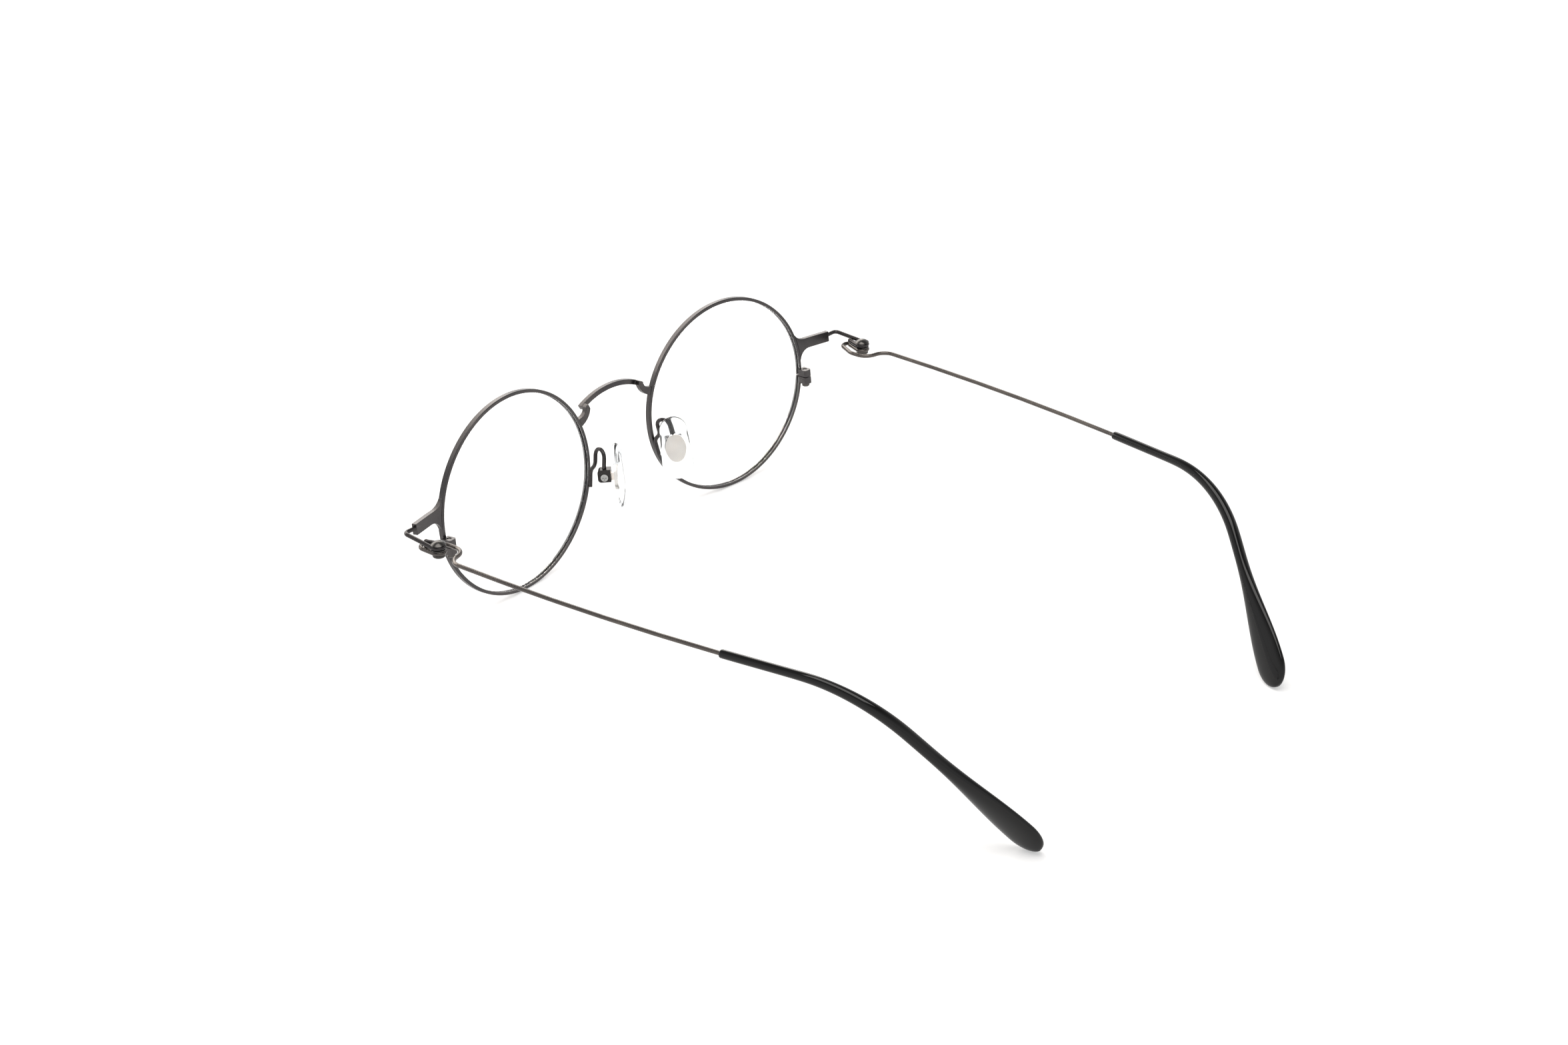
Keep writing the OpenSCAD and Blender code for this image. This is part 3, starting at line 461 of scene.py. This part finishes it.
def wire_end(side):
    """The inner end of the hinge wire: its outward sign, its x and the middle of its face."""
    sign = 1 if side == "left" else -1
    points = [v.co for v in nodes[f"hinge_wire_{side}"].data.vertices]
    end_x = min(sign * p.x for p in points)
    face = [p for p in points if sign * p.x < end_x + AT_THE_END]
    return sign, end_x, middle([p.y for p in face]), middle([p.z for p in face])


def whole_endpiece(side):
    sign, end_x, mid_y, mid_z = wire_end(side)
    bm = cad_copy(f"endpiece_{side}")
    bore = {
        v
        for v in bm.verts
        if math.hypot(v.co.y - mid_y, v.co.z - mid_z) < WIRE_BORE and sign * v.co.x > end_x - BORE_FLOOR
    }
    bmesh.ops.delete(bm, geom=[f for f in bm.faces if bore.issuperset(f.verts)], context="FACES")
    bmesh.ops.holes_fill(bm, edges=[e for e in bm.edges if e.is_boundary], sides=0)
    bmesh.ops.recalc_face_normals(bm, faces=bm.faces)
    soften(bm, f"endpiece_soft_{side}", satin, "front", f"endpiece_{side}")


def short_hinge_wire(side):
    sign, end_x, *_ = wire_end(side)
    bm = cad_copy(f"hinge_wire_{side}")
    for v in bm.verts:
        if sign * v.co.x < end_x + AT_THE_END:
            v.co.x += sign * WIRE_CUT
    to_piece(bm, f"hinge_wire_short_{side}", dark_wire, "front", f"hinge_wire_{side}")


for side in SIDES:
    nose_pad(side)
    smooth_tip(side)
    whole_endpiece(side)
    short_hinge_wire(side)
    pad_box = f"pad_box_{side}"
    soften(cad_copy(pad_box), f"pad_box_soft_{side}", box_metal, "front", pad_box)
round_over(cad_copy("bridge"), "bridge_soft", satin, "front", "bridge")


# Floor and world: white to the camera and through glass. Metal sees the white backdrop too, and
# over it a dimmer ceiling; as a light, both are softer
def math_node(tree, operation, first, second):
    m = tree.nodes.new("ShaderNodeMath")
    m.operation = operation
    for socket, value in zip(m.inputs, (first, second)):
        if isinstance(value, float):
            socket.default_value = value
        else:
            tree.links.new(value, socket)
    return m.outputs[0]


def seen_directly(tree, path):
    return math_node(tree, "MAXIMUM", path.outputs["Is Camera Ray"], path.outputs["Is Transmission Ray"])


def seen_by_eye(tree):
    path = tree.nodes.new("ShaderNodeLightPath")
    return math_node(tree, "MAXIMUM", seen_directly(tree, path), path.outputs["Is Glossy Ray"])


WORLD_LIGHT = 0.42
CEILING = 0.22
BACKDROP_TOP = 0.42
CEILING_FROM = 0.88
world = bpy.data.worlds.new("studio")
bpy.context.scene.world = world
world.use_nodes = True
sky_tree = world.node_tree
sky = sky_tree.nodes["Background"]
sky.inputs["Color"].default_value = (1, 1, 1, 1)
direction = sky_tree.nodes.new("ShaderNodeTexCoord")
height = sky_tree.nodes.new("ShaderNodeSeparateXYZ")
sky_tree.links.new(direction.outputs["Generated"], height.inputs[0])
backdrop = spread(sky_tree, height.outputs["Z"], 1.0, CEILING, BACKDROP_TOP, CEILING_FROM)
sky_path = sky_tree.nodes.new("ShaderNodeLightPath")
mirrored = math_node(sky_tree, "MULTIPLY", sky_path.outputs["Is Glossy Ray"], backdrop)
seen = math_node(sky_tree, "MAXIMUM", seen_directly(sky_tree, sky_path), mirrored)
lit = math_node(sky_tree, "MULTIPLY", sky_path.outputs["Is Diffuse Ray"], WORLD_LIGHT)
sky_tree.links.new(math_node(sky_tree, "MAXIMUM", seen, lit), sky.inputs["Strength"])

# The floor's own glow grows outward, so that its far part stays white beyond the lamps' reach
FLOOR_GLOW, FLOOR_GLOW_FAR = 0.45, 0.85
GLOW_FROM, GLOW_TO = 0.35, 0.8
FLOOR_COLOUR = 0.62
FLOOR_HALF = 3.0
corners = [(x * FLOOR_HALF, y * FLOOR_HALF, 0) for x, y in ((-1, -1), (1, -1), (1, 1), (-1, 1))]
floor_mesh = bpy.data.meshes.new("floor")
floor_mesh.from_pydata(corners, [], [(0, 1, 2, 3)])
floor = bpy.data.objects.new("floor", floor_mesh)
bpy.context.scene.collection.objects.link(floor)
floor_mat, floor_tree, floor_shader = new_material("white_floor")
floor_shader.inputs["Base Color"].default_value = (FLOOR_COLOUR, FLOOR_COLOUR, FLOOR_COLOUR, 1)
floor_shader.inputs["Roughness"].default_value = 0.9
floor_shader.inputs["Specular IOR Level"].default_value = 0.0
glow = floor_tree.nodes.new("ShaderNodeEmission")
away = floor_tree.nodes.new("ShaderNodeVectorMath")
away.operation = "LENGTH"
floor_tree.links.new(object_coords(floor_tree), away.inputs[0])
glowing = spread(floor_tree, away.outputs["Value"], FLOOR_GLOW, FLOOR_GLOW_FAR, GLOW_FROM, GLOW_TO)
strength = math_node(floor_tree, "MULTIPLY", seen_by_eye(floor_tree), glowing)
floor_tree.links.new(strength, glow.inputs["Strength"])
both = floor_tree.nodes.new("ShaderNodeAddShader")
floor_tree.links.new(floor_shader.outputs[0], both.inputs[0])
floor_tree.links.new(glow.outputs[0], both.inputs[1])
floor_tree.links.new(both.outputs[0], floor_tree.nodes["Material Output"].inputs["Surface"])
floor_mesh.materials.append(floor_mat)


# Lamps, in metres and watts: one over the glasses, one long one before them
LAMP_AIM = Vector((0, 0, 0.02))


def softbox(name, place, size, watts, colour):
    lamp = bpy.data.lights.new(name, "AREA")
    lamp.shape = "RECTANGLE"
    lamp.size, lamp.size_y = size
    lamp.energy = watts
    lamp.color = colour
    obj = bpy.data.objects.new(name, lamp)
    obj.location = place
    obj.rotation_mode = "QUATERNION"
    obj.rotation_quaternion = (LAMP_AIM - Vector(place)).to_track_quat("-Z", "Y")
    bpy.context.scene.collection.objects.link(obj)


softbox("overhead", (0.10, 0.0, 0.75), (0.7, 0.5), 4.2, (1.0, 0.98, 0.96))
softbox("front", (-0.20, -0.86, 0.46), (1.5, 0.46), 8.5, (1.0, 0.95, 0.89))

# Camera: the photo's own, fitted to its dark shapes. Angles in degrees, sensor and lens in mm
AZIMUTH, ELEVATION, ROLL = 131.907, 28.094, 0.038
TARGET = Vector((8.953, -15.464, 24.773)) * MM
DISTANCE = 608.41 * MM
SENSOR, FOCAL_LENGTH = 36, 69.044
NEAR_CLIP, FAR_CLIP = 0.01, 20
az, el, ro = (math.radians(a) for a in (AZIMUTH, ELEVATION, ROLL))
back = Vector((math.sin(az) * math.cos(el), -math.cos(az) * math.cos(el), math.sin(el)))
right = (-back).cross(Vector((0, 0, 1))).normalized()
up = right.cross(-back)
cam_x = right * math.cos(ro) + up * math.sin(ro)
cam_y = up * math.cos(ro) - right * math.sin(ro)
camera_data = bpy.data.cameras.new("camera")
camera_data.sensor_width = SENSOR
camera_data.lens = FOCAL_LENGTH
camera_data.clip_start, camera_data.clip_end = NEAR_CLIP, FAR_CLIP
camera = bpy.data.objects.new("camera", camera_data)
turned = Matrix((cam_x, cam_y, back)).transposed().to_4x4()
camera.matrix_world = Matrix.Translation(TARGET + back * DISTANCE) @ turned
bpy.context.scene.collection.objects.link(camera)
bpy.context.scene.camera = camera
bpy.context.scene.view_settings.view_transform = "Standard"
